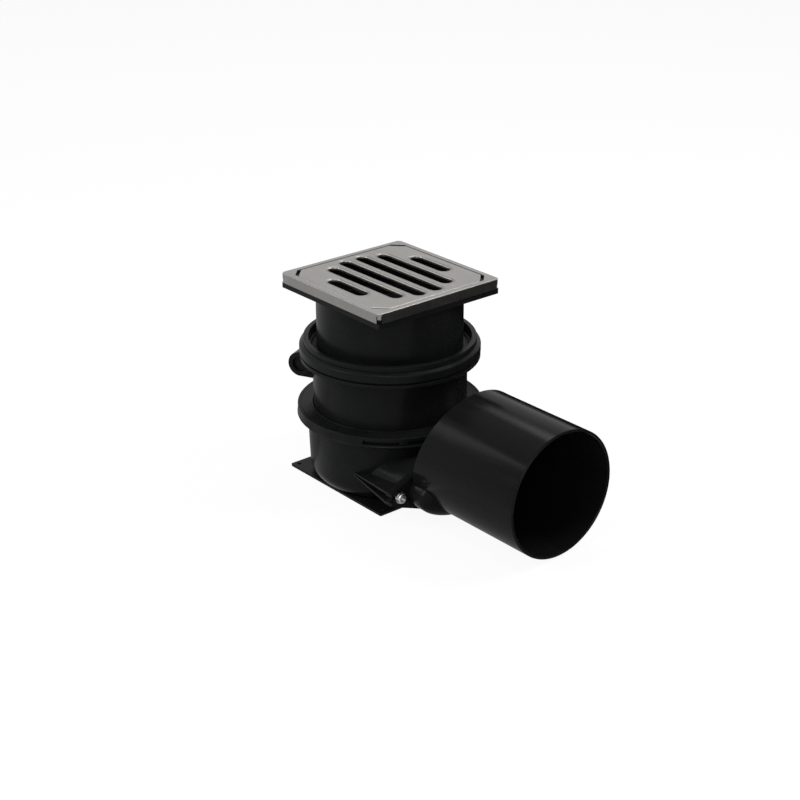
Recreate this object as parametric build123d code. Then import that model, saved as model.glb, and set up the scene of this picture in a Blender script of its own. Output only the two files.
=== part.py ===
from build123d import *
import os
from math import acos, atan2, cos, hypot, radians, sin, tan

# Gully trap with a square slotted grate, a telescopic neck, a swivelling middle body and a flat
# low outlet. Millimetres, Z up. The origin is on the body's vertical axis at the underside of the
# foot plate, and +X runs along the outlet pipe.

# General sizes
wall = 3.0                    # moulded walls
overrun = 1.0                 # how far a cutting solid passes the face it cuts
running_gap = 0.3             # between curved faces that turn or slide on each other
seat_gap = 0.1                # between pieces that are pushed or clipped together
edge_round = 0.6              # broken edges on the mouldings

# Slotted plate and stainless frame
frame_reach = 3.2             # from the neck's side to the frame's side
frame_top = 207.0
sheet = 1.2                   # stainless sheet of the frame
sheet_bend = 0.9              # outer radius of its folded edge
skirt_depth = 9.8             # from the top down to the folded edge's end
corner_cut_length = 3.1       # leg of the 45 degree cut at the frame's corners
corner_flap = 5.8             # depth of the short skirt on a cut corner
corner_slit = 0.9             # open slit between it and the long skirts
border = 6.6                  # from the frame's side to the plate
plate_gap = 0.6               # round the plate, inside the frame
plate_thick = 2.5
plate_cut_length = 13.1       # leg of the plate's 45 degree corner cuts
opening_cut_length = 9.8      # leg of the cuts in the frame's opening, for a finger gap at the corners
plate_corner_round = 2.0
plate_edge_round = 1.1
slot_width = 12.7
slot_pitch = 20.6
slot_length_shares = (0.384, 0.768, 0.888)   # of the plate's side, outer pair to middle pair

# Riser: the square head and the round neck
neck_r = 71.8
neck_engagement = 32.6        # from the collar's floor down to the neck's end
head_height = 15.2            # from the grate's top down to the head's underside
head_inset = 0.6              # the head's black rim stands back from the frame's skirt
head_skirt_gap = 0.2          # between the skirt's end and the rim under it
head_corner_round = 1.5
plate_ledge = 5.0             # how far the head reaches under the plate
plate_ledge_thick = 5.0
pocket_round = 8.0
trap_ledge_drop = 42.0        # from the grate's top down to the ledge that the trap hangs on
trap_ledge_reach = 10.6       # from the neck's inside inwards

# Trap insert: hopper with dip tube, and the cup that holds the water
hopper_rim_thick = 3.0
hopper_upstand = 6.0
insert_wall = 2.2
dip_tube_r = 33.0
dip_tube_drop = 83.0          # these five from the ledge down
funnel_drop = 24.0
cup_low_drop = 93.0
cup_top_drop = 33.0
cup_rib_drop = 61.0
cup_r = 52.0
cup_rib_thick = 3.0
cup_rib_count = 3
trap_seal_thick = 3.0
trap_seal_width = 4.4
grip_bar = 5.0                # bar across the hopper by which the insert is lifted
grip_bar_height = 9.0

# Upper collar: the seal's chamber on top of the middle body and the ring that closes it
neck_guide_gap = 1.3          # between the neck and the middle body's bore
chamber_gap = 7.9             # between the neck and the collar ring's bore
collar_rim_width = 5.3
collar_low_height = 126.0     # underside of the middle body's flange, over the foot
collar_lip_thick = 3.6
collar_lip_reach = 12.7       # from the middle body's outside to the lip's edge
collar_lip_round = 0.35
collar_seat_height = 2.1
collar_seat_inset = 2.1
collar_wall_height = 7.4
collar_wall = 2.7
collar_skirt_inset = 0.2      # by which the ring's skirt stands out over the flange's lip
collar_shoulder = 9.4         # these three from the middle body's flange up
collar_shoulder_top = 11.6
collar_height = 16.7
collar_shoulder_round = 1.7
collar_rim_round = 0.7
collar_bead_reach = 0.5       # a fine bead round the rim, over the shoulder
collar_bead_height = 0.9

# Middle body and its small side inlet
middle_engagement = 16.7      # from the lower body's flange top down to the middle body's end
inlet_offset = 7.7            # from the middle body's side out to the inlet's axis
inlet_ahead = 31.9            # from the foot of the perpendicular on that axis to the inlet's mouth
inlet_drop = 17.6             # from the middle body's flange top down to the inlet's axis
inlet_heading = -64.0         # degrees from +X, the way the inlet's mouth looks
inlet_r = 12.6
inlet_wall = 3.5
inlet_length = 38.0
plug_recess = 3.0
plug_thick = 2.5
plug_length = 9.0
inlet_bore_depth = 14.0
gusset_thick = 3.0
gusset_drop = 1.2
gusset_reach = 3.0

# Lower body: bowl, flange, foot plate and outlet socket
flange_reach = 15.8           # from the middle body's side to the flange's side
flange_top = 76.2
flange_height = 10.2
flange_shoulder = 5.3         # height of the slope between the flange and the bowl
flange_round = 0.7
flange_bead_reach = 0.5       # rounded edge along the foot of the flange's wall
flange_bead_height = 1.4
bowl_guide_wall = 5.5         # round the middle body's lower end
bowl_taper = 2.2
bowl_low_z = 15.0
bowl_floor = 4.0
bowl_foot_round = 16.0
lower_chamber_drop = 10.2     # from the flange's top down to the seal's seat
swivel_gap = 0.4              # between the middle body and the lower body's guide bore
tube_ledge_reach = 2.6
tube_ledge_thick = 2.7
foot_inset = 6.0              # from the bowl's side in to the foot plate's side
foot_back_inset = 10.6
foot_thick = 2.5
foot_corner_round = 1.5
foot_hole_r = 2.25
foot_hole_inset = 6.0
window_drop = 7.3             # from the flange's top down to the opening's sill
window_height = 4.1
window_angle = 49.5           # degrees that each opening in the flange's wall spans
window_bearing = 31.8         # degrees from the X axis to its middle

# Ring that closes the lower seal's chamber, with snap tabs in the flange's openings
lock_top_thick = 2.9
lock_skirt_wall = 3.3
lock_skirt_gap = 0.3          # under the skirt
lock_inner_gap = 0.5          # between the ring and the middle body
lock_lip_width = 1.8
lock_lip_height = 1.0
tab_angle = 5.6
tab_height = 3.2
tab_reach = 2.6

# Flat oval outlet: the socket on the bowl and the spigot of the adapter
oval_half_width = 65.0        # outside of the socket
oval_half_height = 29.0
oval_lift = 1.0               # of the socket over the foot plate's underside
outlet_reach = 14.0           # from the bowl's side to the socket's face
socket_flange = 4.0
ear_reach = 17.0              # from the socket's side to the ear's tip
ear_height = 13.0
ear_slot_reach = 3.4          # from the socket's side out to the slot's end
screw_offset = 6.4            # from the socket's side out to the screw
wing_start_share = 0.345      # of the socket's face distance, where the wings leave the bowl
wing_start_height = 3.0
wing_start_sink = 1.2         # of the wings' first section in the bowl
nut_gap = 0.35

# Outlet adapter and pipe
joint_gap = 0.1
adapter_flange = 4.0
spigot_gap = 3.0              # between the spigot and the socket, filled by the seal
spigot_wall = 2.6
spigot_length = 26.5
rib_height = 2.6
rib_thick = 1.5
rib_first = 6.0               # from the flange to the first rib
rib_pitch = 9.0
rib_count = 2
pipe_r = 62.5                 # of the plain end that goes into a drain socket
pipe_root = 0.5               # by which the pipe grows in radius from the plain end back to the wall
pipe_wall = 3.0
pipe_lift = 2.1               # of the pipe over the foot plate's underside
pipe_length = 140.5           # from the flange to the pipe's mouth
pipe_plain_length = 104.0
end_tilt = 15.9               # degrees that the adapter's end wall leans
end_setback = 0.3             # from the flange to the leaning wall, at the oval's height
end_round = 2.0
neck_inset = 2.4              # from the socket's outline in to the passage's, at the flange
shoulder_inset = 2.3          # and at its widest section
shoulder_inset_height = 0.5
shoulder_reach = 17.0         # from the flange to the widest section of the passage
shoulder_length = 15.0        # from there to its end inside the pipe
shoulder_rise = 5.0           # of the end's middle over the passage's
# Sections of that end: how far along, how large against the widest and how much of the rise
shoulder_shares = ((0.3, 0.98, 0.08), (0.6, 0.925, 0.32), (0.85, 0.84, 0.7), (1.0, 0.76, 1.0))
pipe_chamfer = 0.8

# Clamp screws, washers and nuts
screw_r = 2.5
screw_hole_gap = 0.3
screw_head_r = 5.0
screw_head_thick = 3.4
screw_head_round = 1.4
screw_length = 18.0           # under the head
recess_length = 5.4
recess_width = 1.5
recess_depth = 1.8
washer_r = 5.7
washer_thick = 1.0
nut_across = 8.0
nut_thick = 4.0
nut_bore_gap = 0.05
nut_chamfer = 0.4

# Sections of the rubber rings, as shares of their width and height, inside edge at 0
lip_ring_shares = (
    (0.42, 0.0), (1.0, 0.0), (1.0, 1.0), (0.55, 1.0), (0.55, 0.72), (0.0, 0.94),
    (0.0, 0.72), (0.42, 0.50), (0.42, 0.34), (0.0, 0.46), (0.0, 0.26), (0.42, 0.14),
)
flat_ring_shares = ((0.0, 0.0), (1.0, 0.0), (1.0, 1.0), (0.0, 1.0))

# By which the leg of a corner cut grows shorter when the outline moves in by one
corner_inset_share = 2 - 2 ** 0.5

# Sizes that follow from the ones above
half_frame = neck_r + frame_reach
half_plate = half_frame - border
plate_side = 2 * half_plate
plate_seat = frame_top - plate_thick
head_low = frame_top - head_height
trap_ledge_z = frame_top - trap_ledge_drop
dip_tube_low = trap_ledge_z - dip_tube_drop
funnel_low = trap_ledge_z - funnel_drop
cup_low = trap_ledge_z - cup_low_drop
cup_top = trap_ledge_z - cup_top_drop
cup_rib_top = trap_ledge_z - cup_rib_drop
neck_inner_r = neck_r - wall
middle_inner_r = neck_r + neck_guide_gap
middle_r = middle_inner_r + wall
chamber_r = neck_r + chamber_gap
collar_floor = collar_low_height + collar_lip_thick
neck_low = collar_floor - neck_engagement
collar_lip_r = middle_r + collar_lip_reach
collar_seat_r = collar_lip_r - collar_seat_inset
collar_skirt_r = collar_lip_r + collar_skirt_inset
collar_wall_r = chamber_r + collar_rim_width
collar_wall_top = collar_floor + collar_wall_height
collar_skirt_low = collar_floor + collar_seat_height + seat_gap
collar_top = collar_floor + collar_height
inlet_z = collar_floor - inlet_drop
guide_r = middle_r + swivel_gap
flange_r = middle_r + flange_reach
flange_low = flange_top - flange_height
flange_inner_r = flange_r - wall
lower_chamber_floor = flange_top - lower_chamber_drop
middle_low = flange_top - middle_engagement
bowl_top_r = guide_r + bowl_guide_wall
bowl_low_r = bowl_top_r - bowl_taper
foot_half = bowl_low_r - foot_inset
foot_back = bowl_low_r - foot_back_inset
window_low = flange_top - window_drop
oval_z = oval_half_height + oval_lift
outlet_face = bowl_top_r + outlet_reach
oval_inner_half_width = oval_half_width - wall
oval_inner_half_height = oval_half_height - wall - seat_gap * 2
spigot_half_width = oval_inner_half_width - spigot_gap
spigot_half_height = oval_inner_half_height - spigot_gap
screw_y = oval_half_width + screw_offset
slot_end_y = oval_half_width + ear_slot_reach
ear_tip = oval_half_width + ear_reach
flange_back = outlet_face + joint_gap
flange_front = flange_back + adapter_flange
pipe_z = pipe_r + pipe_lift
pipe_end = flange_front + pipe_length
pipe_inner_r = pipe_r - pipe_wall
slot_half_height = screw_r + screw_hole_gap
wing_groove_half = nut_across / 2 + nut_gap
wing_groove_y = screw_y - nut_across / 3 ** 0.5 - nut_gap
trap_ledge_r = neck_inner_r - trap_ledge_reach
hopper_rim_low = trap_ledge_z + trap_seal_thick
hopper_rim_r = trap_ledge_r + trap_seal_width + seat_gap * 2


def revolved(points):
    # A solid of revolution about Z from the outline of its section, given as radius and height.
    outline = make_face(Polyline(*[(r, 0, z) for r, z in points], close=True))
    return revolve(outline, Axis.Z)


def shaped_ring(inner, outer, low, high, shares):
    # A ring whose section is drawn as shares of the space that it fills.
    return revolved([(inner + (outer - inner) * u, low + (high - low) * v) for u, v in shares])


def upright(radius, low, high):
    return Pos(0, 0, low) * Cylinder(radius, high - low, align=(Align.CENTER, Align.CENTER, Align.MIN))


def slab(half_x, half_y, low, high):
    size = (2 * half_x, 2 * half_y, high - low)
    return Pos(0, 0, low) * Box(*size, align=(Align.CENTER, Align.CENTER, Align.MIN))


def cut_square(half, leg):
    # A square with its corners cut off at 45 degrees.
    inner = half - leg
    return make_face(Polyline(
        (half, inner), (inner, half), (-inner, half), (-half, inner),
        (-half, -inner), (-inner, -half), (inner, -half), (half, -inner), close=True))


def across(x, sketch):
    # Puts a sketch in the plane square to the outlet: its first axis is Y, its second is Z.
    return Plane.YZ.offset(x) * sketch


def oval(half_width, half_height, rise=0.0):
    return Pos(0, oval_z + rise) * Ellipse(half_width, half_height)


def along(sketch, start, end):
    return extrude(across(start, sketch), end - start)


def eye(half_width, half_height):
    # The oval with an ear at each side, each long edge of which runs tangent to the oval.
    shape = oval(half_width, half_height)
    level = ear_height / 2
    reach = hypot(ear_tip / half_width, level / half_height)
    turn = atan2(level / half_height, ear_tip / half_width) + acos(1 / reach)
    touch = (half_width * cos(turn), half_height * sin(turn))
    for side in (1, -1):
        ear = make_face(Polyline(
            (side * ear_tip, oval_z + level), (side * touch[0], oval_z + touch[1]),
            (side * touch[0], oval_z - touch[1]), (side * ear_tip, oval_z - level), close=True))
        shape = shape + ear
    return shape


def ear_slot(side, start, end):
    # The slot for a clamp screw, open at the ear's tip.
    middle = (slot_end_y + slot_half_height + ear_tip + overrun) / 2
    run = ear_tip + overrun - slot_end_y - slot_half_height
    slot = Pos(side * middle, oval_z) * Rectangle(run, 2 * slot_half_height)
    slot = slot + Pos(side * (slot_end_y + slot_half_height), oval_z) * Circle(slot_half_height)
    return along(slot, start, end)


def lying(radius, start, end, y, z):
    return along(Pos(y, z) * Circle(radius), start, end)


def tapered(start_r, end_r, start, end, z):
    cone = Cone(start_r, end_r, end - start, align=(Align.CENTER, Align.CENTER, Align.MIN))
    return Pos(start, 0, z) * Rot(0, 90, 0) * cone


def make_grate_plate():
    outline = cut_square(half_plate, plate_cut_length)
    outline = fillet(outline.vertices(), plate_corner_round)
    plate = extrude(Pos(0, 0, plate_seat) * outline, plate_thick)
    for row, share in enumerate(slot_length_shares):
        y = slot_pitch * (len(slot_length_shares) - row - 1) + slot_pitch / 2
        for side in (1, -1):
            slot = Pos(0, side * y, plate_seat - overrun) * SlotOverall(plate_side * share, slot_width)
            plate = plate - extrude(slot, plate_thick + 2 * overrun)
    top = plate.faces().sort_by(Axis.Z)[-1]
    return fillet(top.edges(), plate_edge_round)


def make_grate_frame():
    outline = cut_square(half_frame, corner_cut_length)
    shell = extrude(Pos(0, 0, frame_top - skirt_depth) * outline, skirt_depth)
    shell = fillet(shell.faces().sort_by(Axis.Z)[-1].edges(), sheet_bend)
    inner = cut_square(half_frame - sheet, corner_cut_length - sheet * corner_inset_share)
    shell = shell - extrude(Pos(0, 0, frame_top - skirt_depth - overrun) * inner,
                            skirt_depth + overrun - sheet)
    opening = cut_square(half_plate + plate_gap, opening_cut_length)
    opening = fillet(opening.vertices(), plate_corner_round)
    shell = shell - extrude(Pos(0, 0, frame_top - 2 * sheet) * opening, 3 * sheet)

    # Each cut corner has a short skirt of its own with an open slit at either side
    across_corner = corner_cut_length * 2 ** 0.5
    out = half_frame * 2 ** 0.5 - corner_cut_length / 2 ** 0.5
    slit_low = frame_top - skirt_depth - overrun
    for turn in (45, 135, 225, 315):
        corner = Rot(0, 0, turn) * Pos(out, 0, slit_low)
        short = Box(4 * sheet, across_corner + corner_slit, skirt_depth + overrun - corner_flap,
                    align=(Align.CENTER, Align.CENTER, Align.MIN))
        shell = shell - corner * short
        for side in (1, -1):
            slit = Box(4 * sheet, corner_slit, skirt_depth + overrun - 2 * sheet,
                       align=(Align.CENTER, Align.CENTER, Align.MIN))
            shell = shell - corner * Pos(0, side * across_corner / 2, 0) * slit
    return shell


def make_riser():
    rim_half = half_frame - head_inset
    under_half = half_frame - sheet - running_gap
    rim_top = frame_top - skirt_depth - head_skirt_gap
    head = slab(rim_half, rim_half, head_low, rim_top)
    head = fillet(head.edges().filter_by(Axis.Z), head_corner_round)
    head_top = frame_top - sheet - seat_gap
    upper = cut_square(under_half, corner_cut_length)
    head = head + extrude(Pos(0, 0, head_low) * upper, head_top - head_low)
    body = head + upright(neck_r, neck_low, head_low + wall)

    # The plate's recess, the square mouth under it and the neck's bore
    recess = fillet(cut_square(half_plate + plate_gap, opening_cut_length).vertices(), plate_corner_round)
    body = body - extrude(Pos(0, 0, plate_seat) * recess, plate_thick + overrun)
    mouth_half = half_plate - plate_ledge
    mouth_low = plate_seat - plate_ledge_thick
    mouth = slab(mouth_half, mouth_half, mouth_low, plate_seat + overrun)
    body = body - fillet(mouth.edges().filter_by(Axis.Z), pocket_round)
    body = body - upright(neck_inner_r, neck_low - overrun, mouth_low)

    # Four hollow corners under the head, each with a rib across it
    hollow_half = rim_half - wall
    hollows = slab(hollow_half, hollow_half, head_low - overrun, mouth_low - wall)
    hollows = hollows - upright(neck_r + running_gap, head_low - 2 * overrun, frame_top)
    for turn in (45, 135):
        rib = Rot(0, 0, turn) * slab(2 * half_frame, wall / 2, head_low - 2 * overrun, frame_top)
        hollows = hollows - rib
    body = body - hollows

    ledge = upright(neck_r - wall / 2, trap_ledge_z - wall, trap_ledge_z)
    ledge = ledge - upright(trap_ledge_r, trap_ledge_z - wall - overrun, trap_ledge_z + overrun)
    body = body + ledge
    foot = body.faces().sort_by(Axis.Z)[0]
    return chamfer(foot.outer_wire().edges(), edge_round)


def make_trap_hopper():
    outer_low = dip_tube_r
    throat = trap_ledge_r - seat_gap * 2
    inner_top = throat - insert_wall
    inner_low = dip_tube_r - insert_wall
    rim_top = hopper_rim_low + hopper_rim_thick
    hopper = revolved([
        (inner_low, dip_tube_low), (outer_low, dip_tube_low), (outer_low, funnel_low),
        (throat, hopper_rim_low - trap_seal_thick), (throat, hopper_rim_low),
        (hopper_rim_r, hopper_rim_low), (hopper_rim_r, rim_top),
        (throat, rim_top), (throat, rim_top + hopper_upstand),
        (inner_top, rim_top + hopper_upstand), (inner_top, hopper_rim_low - trap_seal_thick + insert_wall),
        (inner_low, funnel_low + insert_wall),
    ])
    bar_low = rim_top + hopper_upstand - grip_bar_height
    bar = slab(inner_top + insert_wall / 2, grip_bar / 2, bar_low, rim_top + hopper_upstand)
    return hopper + bar


def make_trap_cup():
    inner = cup_r - insert_wall
    cup = upright(cup_r, cup_low, cup_top)
    cup = fillet(cup.faces().sort_by(Axis.Z)[0].edges(), 2 * insert_wall)
    cup = cup - upright(inner, cup_low + insert_wall, cup_top + overrun)
    rib_inner = dip_tube_r + seat_gap
    for place in range(cup_rib_count):
        reach = inner + insert_wall / 2 - rib_inner
        rib = Box(reach, cup_rib_thick, cup_rib_top - cup_low - insert_wall / 2,
                  align=(Align.MIN, Align.CENTER, Align.MIN))
        cup = cup + Rot(0, 0, 360 / cup_rib_count * (place + 1 / 2)) * (
            Pos(rib_inner, 0, cup_low + insert_wall / 2) * rib)
    # Low stops that carry the end of the dip tube
    stop_height = dip_tube_low - seat_gap - cup_low
    stop_width = 2 * insert_wall
    for place in range(cup_rib_count):
        stop = Box(stop_width + insert_wall, cup_rib_thick, stop_height - insert_wall / 2,
                   align=(Align.MAX, Align.CENTER, Align.MIN))
        cup = cup + Rot(0, 0, 360 / cup_rib_count * (place + 1 / 2)) * (
            Pos(rib_inner + insert_wall, 0, cup_low + insert_wall / 2) * stop)
    return cup


def make_trap_seal():
    inner = trap_ledge_r + seat_gap
    return shaped_ring(inner, inner + trap_seal_width, trap_ledge_z,
                       trap_ledge_z + trap_seal_thick, flat_ring_shares)


def make_neck_seal():
    return shaped_ring(neck_r + running_gap, collar_wall_r - seat_gap - collar_wall - running_gap,
                       collar_floor + running_gap, collar_wall_top, lip_ring_shares)


def make_collar_ring():
    skirt_inner = collar_wall_r + seat_gap
    roof = collar_wall_top + running_gap
    bead_low = collar_floor + collar_shoulder_top
    bead_r = collar_wall_r + collar_bead_reach
    ring = revolved([
        (chamber_r, roof), (skirt_inner, roof), (skirt_inner, collar_skirt_low),
        (collar_skirt_r, collar_skirt_low), (collar_skirt_r, collar_floor + collar_shoulder),
        (collar_wall_r, bead_low), (bead_r, bead_low + collar_bead_reach),
        (bead_r, bead_low + collar_bead_height), (collar_wall_r, bead_low + collar_bead_height),
        (collar_wall_r, collar_top), (chamber_r, collar_top),
    ])
    shoulder = ring.edges().filter_by(GeomType.CIRCLE).sort_by(SortBy.RADIUS)[-2:].sort_by(Axis.Z)[-1]
    ring = fillet(shoulder, collar_shoulder_round)
    return fillet(ring.faces().sort_by(Axis.Z)[-1].edges(), collar_rim_round)


def inlet_frame(distance):
    # A plane square to the side inlet's axis, this far ahead of its mouth.
    heading = radians(inlet_heading)
    ahead = (cos(heading), sin(heading), 0)
    aside = middle_r + inlet_offset
    along_axis = inlet_ahead + distance
    origin = (along_axis * ahead[0] + aside * ahead[1], along_axis * ahead[1] - aside * ahead[0], inlet_z)
    return Plane(origin=origin, x_dir=(0, 0, 1), z_dir=ahead)


def make_middle_body():
    inner_wall_r = collar_wall_r - seat_gap - collar_wall
    body = revolved([
        (middle_inner_r, middle_low), (middle_r, middle_low), (middle_r, collar_low_height),
        (collar_lip_r, collar_low_height), (collar_lip_r, collar_floor), (collar_seat_r, collar_floor),
        (collar_seat_r, collar_floor + collar_seat_height),
        (collar_wall_r - seat_gap, collar_floor + collar_seat_height),
        (collar_wall_r - seat_gap, collar_wall_top), (inner_wall_r, collar_wall_top),
        (inner_wall_r, collar_floor), (middle_inner_r, collar_floor),
    ])
    lip = body.edges().filter_by(GeomType.CIRCLE).sort_by(SortBy.RADIUS)[-2:]
    body = fillet(lip, collar_lip_round)
    stub = extrude(inlet_frame(-inlet_length) * Circle(inlet_r), inlet_length)
    stub = fillet(stub.edges(), edge_round)
    web = Rectangle(inlet_r + gusset_drop, inlet_r + gusset_reach, align=(Align.MAX, Align.MAX))
    gusset = extrude(inlet_frame(-2 * gusset_thick) * web, gusset_thick)
    bore = upright(middle_inner_r, middle_low - overrun, collar_top)
    body = body + (stub + gusset - bore)
    mouth = inlet_frame(-inlet_bore_depth) * Circle(inlet_r - inlet_wall)
    return body - extrude(mouth, inlet_bore_depth + overrun)


def make_inlet_plug():
    radius = inlet_r - inlet_wall - seat_gap / 2
    plug = extrude(inlet_frame(-plug_length) * Circle(radius), plug_length)
    face = extrude(inlet_frame(-plug_recess) * Circle(radius - plug_thick / 2), plug_recess + overrun)
    back_depth = plug_length - plug_recess - plug_thick
    back = extrude(inlet_frame(-plug_length - overrun) * Circle(radius - plug_thick), back_depth + overrun)
    return plug - face - back


def make_lower_body():
    shoulder_low = flange_low - flange_shoulder
    body = revolved([
        (0, 0), (bowl_low_r, 0), (bowl_top_r, shoulder_low), (flange_r, flange_low),
        (flange_r + flange_bead_reach, flange_low + flange_bead_reach),
        (flange_r + flange_bead_reach, flange_low + flange_bead_height),
        (flange_r, flange_low + flange_bead_height + flange_bead_reach),
        (flange_r, flange_top), (0, flange_top),
    ])
    body = fillet(body.faces().sort_by(Axis.Z)[0].edges(), bowl_foot_round)
    body = fillet(body.faces().sort_by(Axis.Z)[-1].edges(), flange_round)

    foot = Box(foot_back + foot_half, 2 * foot_half, foot_thick, align=(Align.MAX, Align.CENTER, Align.MIN))
    foot = Pos(foot_half, 0, 0) * foot
    body = body + fillet(foot.edges().filter_by(Axis.Z), foot_corner_round)
    body = body + along(oval(oval_half_width, oval_half_height), oval_half_width / 2, outlet_face)
    for side in (1, -1):
        body = body + make_wing(side)
    plate = eye(oval_half_width, oval_half_height)
    body = body + along(plate, outlet_face - socket_flange, outlet_face)
    for side in (1, -1):
        body = body - ear_slot(side, outlet_face - socket_flange - overrun, outlet_face + overrun)

    # Inside: the bowl, the ledge under the middle body, its guide and the seal's chamber
    ledge_top = middle_low - running_gap
    ledge_low = ledge_top - tube_ledge_thick
    ledge_r = guide_r - tube_ledge_reach
    inner = revolved([
        (0, bowl_floor), (bowl_low_r - bowl_foot_round, bowl_floor), (bowl_low_r - wall, bowl_low_z),
        (bowl_top_r - wall, ledge_low), (ledge_r, ledge_low), (ledge_r, ledge_top),
        (guide_r, ledge_top), (guide_r, lower_chamber_floor), (flange_inner_r, lower_chamber_floor),
        (flange_inner_r, flange_top + overrun), (0, flange_top + overrun),
    ])
    body = body - inner
    passage = oval(oval_inner_half_width, oval_inner_half_height)
    body = body - along(passage, oval_half_width / 2, outlet_face + overrun)

    # Openings for the lock ring's tabs, and fixing holes
    for bearing in lock_bearings():
        body = body - wedge(bearing, window_angle, flange_inner_r - overrun, flange_r + overrun,
                            window_low, window_low + window_height)
    for x in (foot_half - foot_hole_inset, foot_hole_inset - foot_back):
        for y in (foot_half - foot_hole_inset, foot_hole_inset - foot_half):
            body = body - Pos(x, y, 0) * upright(foot_hole_r, -overrun, foot_thick + overrun)
    return body


def make_wing(side):
    # A pair of ribs that grow out of the bowl's flank towards the ear, with the nut's groove between.
    back = outlet_face - socket_flange
    start = outlet_face * wing_start_share
    root = oval_half_width - 2 * wall
    start_tip = (bowl_top_r ** 2 - start ** 2) ** 0.5 - wing_start_sink

    def section(x, low_y, high_y, height):
        return across(x, Pos(side * (low_y + high_y) / 2, oval_z) * Rectangle(high_y - low_y, height))

    wing = loft([
        section(start, root, start_tip, wing_start_height),
        section(back, root, ear_tip, ear_height),
    ])
    groove = loft([
        section(start, wing_groove_y, start_tip + 2 * wing_start_height, wing_start_height / 3),
        section(back, wing_groove_y, ear_tip + 2 * wing_start_height, 2 * wing_groove_half),
    ])
    return wing - groove


def lock_bearings():
    return (window_bearing, -window_bearing, 180 - window_bearing, 180 + window_bearing)


def wedge(bearing, angle, inner, outer, low, high):
    # A piece of a ring, centred on a bearing from the X axis.
    start = radians(bearing - angle / 2)
    section = make_face(Polyline(
        (inner * cos(start), inner * sin(start), low), (outer * cos(start), outer * sin(start), low),
        (outer * cos(start), outer * sin(start), high), (inner * cos(start), inner * sin(start), high),
        close=True))
    return revolve(section, Axis.Z, angle)


def make_lock_ring():
    outer = flange_inner_r - running_gap
    inner = middle_r + lock_inner_gap
    roof = flange_top - lock_top_thick
    skirt_low = lower_chamber_floor + lock_skirt_gap
    ring = revolved([
        (inner, roof), (outer - lock_skirt_wall, roof), (outer - lock_skirt_wall, skirt_low),
        (outer, skirt_low), (outer, flange_top), (inner + lock_lip_width, flange_top),
        (inner + lock_lip_width, flange_top + lock_lip_height), (inner, flange_top + lock_lip_height),
    ])
    tab_top = window_low + window_height - running_gap
    ring = fillet(ring.faces().sort_by(Axis.Z)[-1].edges(), lock_lip_height / 2)
    for bearing in lock_bearings():
        ring = ring + wedge(bearing, tab_angle, outer - lock_skirt_wall / 2, outer + tab_reach,
                            tab_top - tab_height, tab_top)
    return ring


def make_lower_seal():
    outer = flange_inner_r - running_gap - lock_skirt_wall - seat_gap
    return shaped_ring(middle_r + running_gap, outer, lower_chamber_floor,
                       flange_top - lock_top_thick - seat_gap, lip_ring_shares)


def make_outlet_adapter():
    # The pipe, closed towards the body by a leaning wall
    slope = tan(radians(end_tilt))
    start = flange_front - adapter_flange / 2
    lean = Plane(origin=(flange_front + end_setback, 0, oval_z), z_dir=(1, 0, -slope))
    plain_start = pipe_end - pipe_plain_length
    pipe = tapered(pipe_r + pipe_root, pipe_r, flange_front - 2 * pipe_wall, plain_start, pipe_z)
    pipe = split(pipe, lean, Keep.TOP)
    end = pipe.faces().sort_by(Axis.X)[0]
    pipe = fillet(end.edges(), end_round)
    pipe = split(pipe, Plane.YZ.offset(start), Keep.TOP)
    pipe = pipe + lying(pipe_r, plain_start, pipe_end, 0, pipe_z)

    # The flat oval passage, which widens and dies into the pipe
    widest = flange_front + shoulder_reach
    body = pipe + loft_ovals(0, start, widest)
    body = body + along(eye(oval_half_width, oval_half_height - joint_gap), flange_back, flange_front)
    mouth = flange_front - spigot_length
    body = body + along(oval(spigot_half_width, spigot_half_height), mouth, flange_back + joint_gap)
    for count in range(rib_count):
        rib_end = flange_back - rib_first - rib_pitch * count
        rib = oval(spigot_half_width + rib_height, spigot_half_height + rib_height)
        body = body + along(rib, rib_end - rib_thick, rib_end)

    # Inside
    bore = lying(pipe_inner_r, flange_front - 2 * pipe_wall, pipe_end + overrun, 0, pipe_z)
    depth = flange_front + end_setback + pipe_wall / cos(radians(end_tilt))
    bore = split(bore, Plane(origin=(depth, 0, oval_z), z_dir=(1, 0, -slope)), Keep.TOP)
    body = body - bore - loft_ovals(pipe_wall, flange_front, widest - pipe_wall / 2)
    passage = oval(spigot_half_width - spigot_wall, spigot_half_height - spigot_wall)
    body = body - along(passage, mouth - overrun, flange_front + shoulder_reach / 2)
    for side in (1, -1):
        body = body - ear_slot(side, flange_back - overrun, flange_front + overrun)
    rim = body.faces().sort_by(Axis.X)[-1]
    return chamfer(rim.edges(), pipe_chamfer)


def loft_ovals(inset, start, widest):
    # The oval passage from the flange to its widest section, then its rounded end in the pipe.
    neck_half_width = oval_half_width - neck_inset - inset
    neck_half_height = oval_half_height - neck_inset - inset
    wide_half_width = oval_half_width - shoulder_inset - inset
    wide_half_height = oval_half_height - shoulder_inset_height - inset
    small = oval(neck_half_width, neck_half_height)
    wide = oval(wide_half_width, wide_half_height)
    sections = [across(widest, wide)]
    for ahead, size, rise in shoulder_shares:
        outline = oval(wide_half_width * size, wide_half_height * size, shoulder_rise * rise)
        sections.append(across(widest + shoulder_length * ahead, outline))
    return loft([across(start, small), across(widest, wide)]) + loft(sections)


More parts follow.
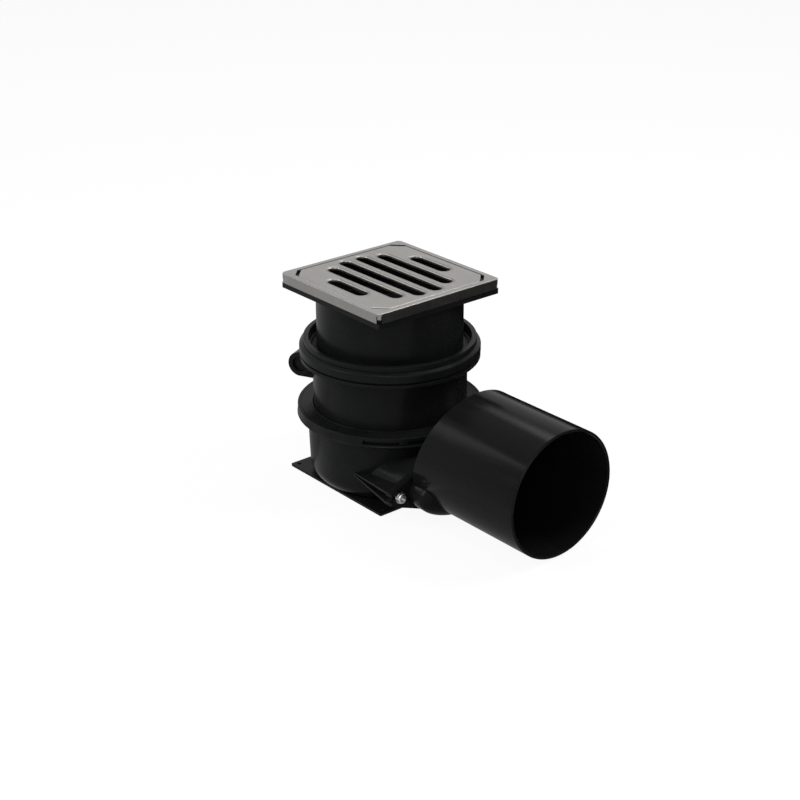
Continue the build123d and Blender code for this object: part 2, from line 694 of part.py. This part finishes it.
def make_outlet_seal():
    outer = oval(oval_inner_half_width - seat_gap, oval_inner_half_height - seat_gap)
    inner = oval(spigot_half_width + seat_gap, spigot_half_height + seat_gap)
    high = flange_back - rib_first - rib_thick - seat_gap
    low = flange_back - rib_first - rib_pitch + seat_gap
    seal = along(outer - inner, low, high)
    # Two shallow grooves round the outside leave three sealing lips
    groove = (high - low) / 5
    band = outer - oval(oval_inner_half_width - spigot_gap / 2, oval_inner_half_height - spigot_gap / 2)
    for step in (1, 3):
        seal = seal - along(band, low + groove * step, low + groove * (step + 1))
    return seal


def make_clamp_screw(side):
    y = side * screw_y
    seat = flange_front + washer_thick
    head = lying(screw_head_r, seat, seat + screw_head_thick, y, oval_z)
    head = fillet(head.edges().sort_by(Axis.X)[-1], screw_head_round)
    for turn in (45, 135):
        cut = Pos(y, oval_z) * Rot(0, 0, turn) * Rectangle(recess_length, recess_width)
        head = head - along(cut, seat + screw_head_thick - recess_depth, seat + screw_head_thick + overrun)
    shank = lying(screw_r, seat - screw_length, seat + washer_thick, y, oval_z)
    return head + chamfer(shank.edges().sort_by(Axis.X)[0], nut_chamfer)


def make_clamp_washer(side):
    disc = lying(washer_r, flange_front, flange_front + washer_thick, side * screw_y, oval_z)
    hole = lying(screw_r + screw_hole_gap, flange_front - overrun, flange_front + washer_thick + overrun,
                 side * screw_y, oval_z)
    return disc - hole


def make_clamp_nut(side):
    y = side * screw_y
    back = outlet_face - socket_flange
    hexagon = Pos(y, oval_z) * RegularPolygon(nut_across / 2, 6, major_radius=False)
    body = along(hexagon, back - nut_thick, back)
    return body - lying(screw_r + nut_bore_gap, back - nut_thick - overrun, back + overrun, y, oval_z)


parts = {
    "grate_plate": make_grate_plate(),
    "grate_frame": make_grate_frame(),
    "riser": make_riser(),
    "trap_hopper": make_trap_hopper(),
    "trap_cup": make_trap_cup(),
    "trap_seal": make_trap_seal(),
    "neck_seal": make_neck_seal(),
    "collar_ring": make_collar_ring(),
    "middle_body": make_middle_body(),
    "inlet_plug": make_inlet_plug(),
    "lower_body": make_lower_body(),
    "lock_ring": make_lock_ring(),
    "lower_seal": make_lower_seal(),
    "outlet_adapter": make_outlet_adapter(),
    "outlet_seal": make_outlet_seal(),
}
for name, side in (("left", 1), ("right", -1)):
    parts["clamp_screw_" + name] = make_clamp_screw(side)
    parts["clamp_washer_" + name] = make_clamp_washer(side)
    parts["clamp_nut_" + name] = make_clamp_nut(side)

os.makedirs("parts", exist_ok=True)
for node, shape in parts.items():
    export_step(shape, os.path.join("parts", node + ".step"))
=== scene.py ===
from math import cos, radians, sin

import bpy
from mathutils import Matrix, Vector

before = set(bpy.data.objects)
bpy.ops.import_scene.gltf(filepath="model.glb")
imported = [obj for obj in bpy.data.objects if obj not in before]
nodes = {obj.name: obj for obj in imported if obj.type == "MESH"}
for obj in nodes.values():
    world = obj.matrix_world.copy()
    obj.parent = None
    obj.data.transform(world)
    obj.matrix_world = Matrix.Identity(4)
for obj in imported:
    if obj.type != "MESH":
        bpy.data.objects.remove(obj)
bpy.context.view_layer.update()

# Gully trap on a white floor, seen as in the photograph. Metres, in the frame of the solids, and
# degrees. The origin is on the body's vertical axis at the underside of the foot plate.

MM = 0.001
WHITE = (1, 1, 1, 1)

# Camera, fitted to the photograph
CAMERA_PLACE = (1.14811, -0.95269, 0.74703)
CAMERA_AZIMUTH = 49.9407      # 0 looks along +Y, 90 along -X
CAMERA_ELEVATION = 24.2394
CAMERA_ROLL = -0.0874
CAMERA_LENS_MM = 73.997
CAMERA_SENSOR_MM = 36
CAMERA_REACH = 100

# Slots of the grate's plate, as in the part's source
SLOT_WIDTH = 12.7 * MM
SLOT_PITCH = 20.6 * MM
SLOT_LENGTH_SHARES = (0.384, 0.768, 0.888)    # of the plate's side, outer pair to middle pair
STAMP_WIDTH = 3.4 * MM                        # of the soft hollow round each slot
STAMP_DEPTH = 1.6 * MM

# Studio
WORLD_LIGHT = 0.30            # what the white surroundings shed on the object
FLOOR_SIDE = 60
FLOOR_GREY = 0.86
FLOOR_WHITE = 0.93            # how white the floor is where it is seen
LAMP_TARGET = (0.05, 0, 0.1)
CARD_FOOT = 1 * MM            # the cards stand and lie this much over the floor
SHADE_REACH_SHARE = 1.4       # a shade goes on past its darkest line, by shares of its width

# Range that a noise keeps to for most of its area
NOISE_LOW = 0.3
NOISE_HIGH = 0.7


class Nodes:
    """A node tree that is built one node at a time."""

    def __init__(self, tree):
        self.tree = tree

    def feed(self, target, value):
        """Gives an input its value, or links it to the output that value is."""
        if isinstance(value, bpy.types.NodeSocket):
            self.tree.links.new(value, target)
        else:
            target.default_value = value

    def node(self, kind, inputs=None, **settings):
        made = self.tree.nodes.new(kind)
        for key, value in settings.items():
            setattr(made, key, value)
        for key, value in (inputs or {}).items():
            self.feed(made.inputs[key], value)
        return made

    def maths(self, operation, a, b):
        return self.node("ShaderNodeMath", {0: a, 1: b}, operation=operation).outputs["Value"]

    def vectors(self, operation, *operands):
        made = self.node("ShaderNodeVectorMath", dict(enumerate(operands)), operation=operation)
        return made.outputs["Value" if operation in ("LENGTH", "DOT_PRODUCT") else "Vector"]

    def ramp(self, value, low, high, start, end, **settings):
        """Maps value from low..high to start..end, clamped."""
        return self.node("ShaderNodeMapRange", {"Value": value, "From Min": low, "From Max": high,
                                                "To Min": start, "To Max": end},
                         **settings).outputs["Result"]

    def seen(self):
        """One for the rays that see a surface, directly or mirrored, and nought for those that light it."""
        rays = self.node("ShaderNodeLightPath").outputs
        seen = rays["Is Camera Ray"]
        for ray in ("Is Glossy Ray", "Is Transmission Ray"):
            seen = self.maths("MAXIMUM", seen, rays[ray])
        return seen


class Look(Nodes):
    """A material with one Principled shader."""

    def __init__(self, name):
        self.mat = bpy.data.materials.new(name)
        self.mat.use_nodes = True
        super().__init__(self.mat.node_tree)
        self.shader = self.tree.nodes["Principled BSDF"]

    def put(self, socket, value):
        self.feed(self.shader.inputs[socket], value)

    def surface(self, shader):
        """Shows another shader in place of the Principled one."""
        self.feed(self.tree.nodes["Material Output"].inputs["Surface"], shader)

    def place(self):
        """Object coordinates, which are metres in the frame of the solids."""
        return self.node("ShaderNodeTexCoord").outputs["Object"]

    def stretched(self, scale):
        """Object coordinates that are drawn out along the axes with a scale under one."""
        return self.node("ShaderNodeMapping", {"Vector": self.place(), "Scale": scale}).outputs["Vector"]

    def noise(self, place, scale, detail, rough):
        return self.node("ShaderNodeTexNoise", {"Vector": place, "Scale": scale, "Detail": detail,
                                                "Roughness": rough}).outputs["Fac"]

    def average(self, a, b):
        return self.maths("MULTIPLY", self.maths("ADD", a, b), 0.5)

    def colours(self, value, dark, light, low=NOISE_LOW, high=NOISE_HIGH):
        """The base colour: dark where value is low, light where it is high."""
        made = self.node("ShaderNodeValToRGB", {"Fac": value})
        for element, at, colour in zip(made.color_ramp.elements, (low, high), (dark, light)):
            element.position = at
            element.color = (*colour, 1)
        self.put("Base Color", made.outputs["Color"])

    def roughness(self, value, rough, below, above):
        """The roughness: a little below rough where value is low, and above it where value is high."""
        self.put("Roughness", self.ramp(value, NOISE_LOW, NOISE_HIGH, rough - below, rough + above))

    def bump(self, height, strength, distance, under=None):
        inputs = {"Height": height, "Strength": strength, "Distance": distance}
        if under is not None:
            inputs["Normal"] = under
        return self.node("ShaderNodeBump", inputs).outputs["Normal"]


def grey(value, warm=0.0):
    """A grey with a little more red and less blue, or the other way round where warm is under nought."""
    return (value * (1 + warm), value, value * (1 - warm))


# Materials

def moulded_plastic(name, dark, light, rough, specular, grain=(1, 1, 1)):
    """Black moulded plastic with a fine grain and faint flow marks, drawn out along the grain."""
    look = Look(name)
    flow = look.noise(look.stretched(grain), scale=60, detail=4, rough=0.6)
    cloud = look.noise(look.place(), scale=14, detail=3, rough=0.5)
    look.colours(look.average(flow, cloud), dark, light, low=0.35, high=0.68)
    look.roughness(flow, rough, below=0.05, above=0.07)
    look.put("Specular IOR Level", specular)
    fine = look.noise(look.place(), scale=2600, detail=2, rough=0.5)
    grained = look.bump(fine, strength=0.05, distance=0.08 * MM)
    look.put("Normal", look.bump(flow, strength=0.10, distance=0.4 * MM, under=grained))
    return look.mat


def stamped_rims(look, under):
    """The soft hollow that the punch leaves round the slots of the grate."""
    plate_xs = [vertex.co.x for vertex in nodes["grate_plate"].data.vertices]
    plate_side = max(plate_xs) - min(plate_xs)
    slot_r = SLOT_WIDTH / 2
    # One quarter of the plate, seen from above, stands for all four
    plan = look.vectors("MULTIPLY", look.vectors("ABSOLUTE", look.place()), (1, 1, 0))
    nearest = None
    for row, share in enumerate(reversed(SLOT_LENGTH_SHARES)):
        end = (plate_side * share / 2 - slot_r, SLOT_PITCH * row + SLOT_PITCH / 2, 0)
        # Before the slot's round end only the way off its middle line counts
        past = look.vectors("MAXIMUM", look.vectors("SUBTRACT", plan, end), (0, -1, 0))
        gap = look.vectors("LENGTH", past)
        nearest = gap if nearest is None else look.maths("MINIMUM", nearest, gap)
    rise = look.ramp(nearest, slot_r, slot_r + STAMP_WIDTH, 0, 1, interpolation_type="SMOOTHSTEP")
    return look.bump(rise, strength=1, distance=STAMP_DEPTH, under=under)


def brushed_sheet(name, dark, light, rough, grain):
    """Stainless sheet with a satin grain. It comes as a look and its normal, for more bumps on it."""
    look = Look(name)
    lines = look.noise(look.stretched(grain), scale=900, detail=2, rough=0.6)
    cloud = look.noise(look.place(), scale=18, detail=3, rough=0.5)
    look.colours(look.average(lines, cloud), dark, light)
    look.put("Metallic", 1)
    look.roughness(lines, rough, below=0.04, above=0.06)
    return look, look.bump(lines, strength=0.12, distance=0.06 * MM)


def plate_sheet():
    look, brushed = brushed_sheet("stainless_plate", grey(0.185, warm=0.045), grey(0.22, warm=0.045),
                                  rough=0.36, grain=(0.06, 1, 1))
    look.put("Normal", stamped_rims(look, brushed))
    return look.mat


def frame_sheet():
    look, brushed = brushed_sheet("stainless_frame", grey(0.185, warm=0.03), grey(0.225, warm=0.03),
                                  rough=0.34, grain=(1, 1, 0.06))
    look.put("Normal", brushed)
    return look.mat


def rubber(name, dark, light, rough):
    look = Look(name)
    cloud = look.noise(look.place(), scale=40, detail=4, rough=0.6)
    look.colours(cloud, dark, light)
    look.roughness(cloud, rough, below=0, above=0.15)
    look.put("Specular IOR Level", 0.25)
    fine = look.noise(look.place(), scale=1500, detail=2, rough=0.5)
    look.put("Normal", look.bump(fine, strength=0.15, distance=0.1 * MM))
    return look.mat


def turned_metal(name, dark, light, rough):
    """Steel with fine marks, drawn out along the screws' axis."""
    look = Look(name)
    marks = look.noise(look.stretched((0.15, 1, 1)), scale=900, detail=3, rough=0.6)
    look.colours(marks, dark, light)
    look.put("Metallic", 1)
    look.roughness(marks, rough, below=0.05, above=0.08)
    look.put("Normal", look.bump(marks, strength=0.15, distance=0.05 * MM))
    return look.mat


def dress():
    """Gives every node of the frame its material."""
    moulded = moulded_plastic("moulded_black", grey(0.0054, warm=-0.04), grey(0.0076, warm=-0.04),
                              rough=0.25, specular=0.045)
    pipe = moulded_plastic("moulded_pipe", grey(0.0046, warm=-0.02), grey(0.0062, warm=-0.02),
                           rough=0.16, specular=0.042, grain=(0.12, 1.6, 1.6))
    inner = moulded_plastic("moulded_inner", grey(0.008), grey(0.012), rough=0.5, specular=0.06)
    seal = rubber("seal_rubber", grey(0.009), grey(0.016), rough=0.6)
    screw = turned_metal("screw_steel", grey(0.40), grey(0.50), rough=0.26)
    fasteners = ("screw", "washer", "nut")
    dressed = [
        (plate_sheet(), ["grate_plate"]),
        (frame_sheet(), ["grate_frame"]),
        (moulded, ["riser", "collar_ring", "middle_body", "inlet_plug", "lower_body", "lock_ring"]),
        (pipe, ["outlet_adapter"]),
        (inner, ["trap_hopper", "trap_cup"]),
        (seal, ["trap_seal", "neck_seal", "lower_seal", "outlet_seal"]),
        (screw, [f"clamp_{kind}_{side}" for kind in fasteners for side in ("left", "right")]),
    ]
    for material, names in dressed:
        for name in names:
            mesh = nodes[name].data
            mesh.materials.clear()
            mesh.materials.append(material)


# Studio

def make_stage_piece(name, corners, faces, look):
    mesh = bpy.data.meshes.new(name)
    mesh.from_pydata(corners, [], faces)
    mesh.materials.append(look.mat)
    piece = bpy.data.objects.new(name, mesh)
    bpy.context.scene.collection.objects.link(piece)
    return piece


def make_floor():
    """A floor that is white where it is seen, and still takes the object's shadow."""
    look = Look("stage_floor")
    look.put("Base Color", (*grey(FLOOR_GREY), 1))
    look.put("Roughness", 0.9)
    look.put("Specular IOR Level", 0)
    glow = look.node("ShaderNodeEmission", {"Color": WHITE, "Strength": 1})
    share = look.maths("MULTIPLY", look.seen(), FLOOR_WHITE)
    mixed = look.node("ShaderNodeMixShader", {0: share, 1: look.shader.outputs["BSDF"], 2: glow.outputs[0]})
    look.surface(mixed.outputs[0])
    out = FLOOR_SIDE / 2
    make_stage_piece("stage_floor", [(-out, -out, 0), (out, -out, 0), (out, out, 0), (-out, out, 0)],
                     [(0, 1, 2, 3)], look)


def make_world():
    """White surroundings that shed less light than they show."""
    world = bpy.data.worlds.new("studio")
    world.use_nodes = True
    world.node_tree.nodes.clear()
    sky = Nodes(world.node_tree)
    lit = sky.node("ShaderNodeBackground", {"Color": WHITE, "Strength": WORLD_LIGHT})
    shown = sky.node("ShaderNodeBackground", {"Color": WHITE, "Strength": 1})
    mixed = sky.node("ShaderNodeMixShader", {0: sky.seen(), 1: lit.outputs[0], 2: shown.outputs[0]})
    sky.node("ShaderNodeOutputWorld", {"Surface": mixed.outputs[0]})
    bpy.context.scene.world = world


def make_card(name, corners, faces, look):
    """A card that is seen in reflections only."""
    card = make_stage_piece(name, corners, faces, look)
    card.visible_camera = False
    card.visible_diffuse = False
    card.visible_shadow = False
    card.visible_transmission = False


def make_flag(name, points, top, shade):
    """A standing dark card along the points."""
    look = Look(name)
    look.put("Base Color", (*grey(shade), 1))
    look.put("Specular IOR Level", 0)
    low = [(x, y, CARD_FOOT) for x, y in points]
    high = [(x, y, top) for x, y in points]
    count = len(points)
    faces = [(at, at + 1, count + at + 1, count + at) for at in range(count - 1)]
    make_card(name, low + high, faces, look)


def make_shade(name, start, ahead, length, width, dark):
    """The floor's shade beside the object, as the object reflects it.

    The card lies on the floor, is as white as it at start, the middle of its near side, and darkens ahead.
    """
    look = Look(name)
    start = Vector(start)
    ahead = Vector(ahead)
    along = ahead.orthogonal()
    near = start.dot(ahead)
    across = look.vectors("DOT_PRODUCT", look.place(), (*ahead, 0))
    white = look.ramp(across, near, near + width, FLOOR_WHITE, dark)
    glow = look.node("ShaderNodeEmission", {"Color": WHITE, "Strength": white})
    look.surface(glow.outputs[0])
    corners = []
    for out, side in ((0, -1), (1, -1), (1, 1), (0, 1)):
        place = start + ahead * out * width * SHADE_REACH_SHARE + along * side * length / 2
        corners.append((*place, CARD_FOOT))
    make_card(name, corners, [(0, 1, 2, 3)], look)


def softbox(name, place, size, power):
    lamp = bpy.data.lights.new(name, "AREA")
    lamp.shape = "RECTANGLE"
    lamp.size, lamp.size_y = size
    lamp.energy = power
    made = bpy.data.objects.new(name, lamp)
    made.location = place
    made.rotation_euler = (Vector(LAMP_TARGET) - Vector(place)).to_track_quat("-Z", "Y").to_euler()
    bpy.context.scene.collection.objects.link(made)


def make_camera():
    data = bpy.data.cameras.new("camera")
    data.sensor_width = CAMERA_SENSOR_MM
    data.lens = CAMERA_LENS_MM
    data.clip_end = CAMERA_REACH
    camera = bpy.data.objects.new("camera", data)
    turn = Matrix.Rotation(radians(CAMERA_AZIMUTH), 4, "Z")
    tilt = Matrix.Rotation(radians(90 - CAMERA_ELEVATION), 4, "X")
    roll = Matrix.Rotation(radians(CAMERA_ROLL), 4, "Z")
    camera.matrix_world = Matrix.Translation(CAMERA_PLACE) @ turn @ tilt @ roll
    bpy.context.scene.collection.objects.link(camera)
    bpy.context.scene.camera = camera


dress()
make_floor()
make_world()

# The standing cards give the right sides of the round bodies a dark reflection
make_flag("stage_flag_far", points=[(0.66, -0.06), (0.02, 0.50)], top=0.60, shade=0.075)
make_flag("stage_flag_near", points=[(0.30, 0.085), (0.13, 0.19), (-0.02, 0.20), (-0.09, 0.17)], top=0.14,
          shade=0.004)

# The lying ones keep the pipe's lower edge and the bodies' left edges from reflecting a white floor
camera_right = (cos(radians(CAMERA_AZIMUTH)), sin(radians(CAMERA_AZIMUTH)))
make_shade("stage_shade_pipe", start=(0.23, -0.14), ahead=(0, 1), length=0.28, width=0.12, dark=0.25)
make_shade("stage_shade_left", start=(-0.66, -0.163), ahead=camera_right, length=0.80, width=0.50, dark=0.30)

softbox("key_left", place=(-0.64, -1.82, 1.30), size=(0.95, 1.40), power=26)
softbox("top_back", place=(-0.70, 1.00, 1.90), size=(1.40, 0.90), power=16)
softbox("front_fill", place=(1.90, -1.20, 1.30), size=(1.20, 1.20), power=10)
softbox("pipe_streak", place=(-1.28, -1.08, 1.10), size=(0.38, 0.62), power=3)
softbox("glint_top", place=(0.36, -0.52, 1.50), size=(0.35, 0.35), power=4)
softbox("glint_back", place=(0.66, 0.89, 1.20), size=(0.55, 0.55), power=15)
make_camera()
bpy.context.scene.view_settings.view_transform = "Standard"

bpy.context.view_layer.update()
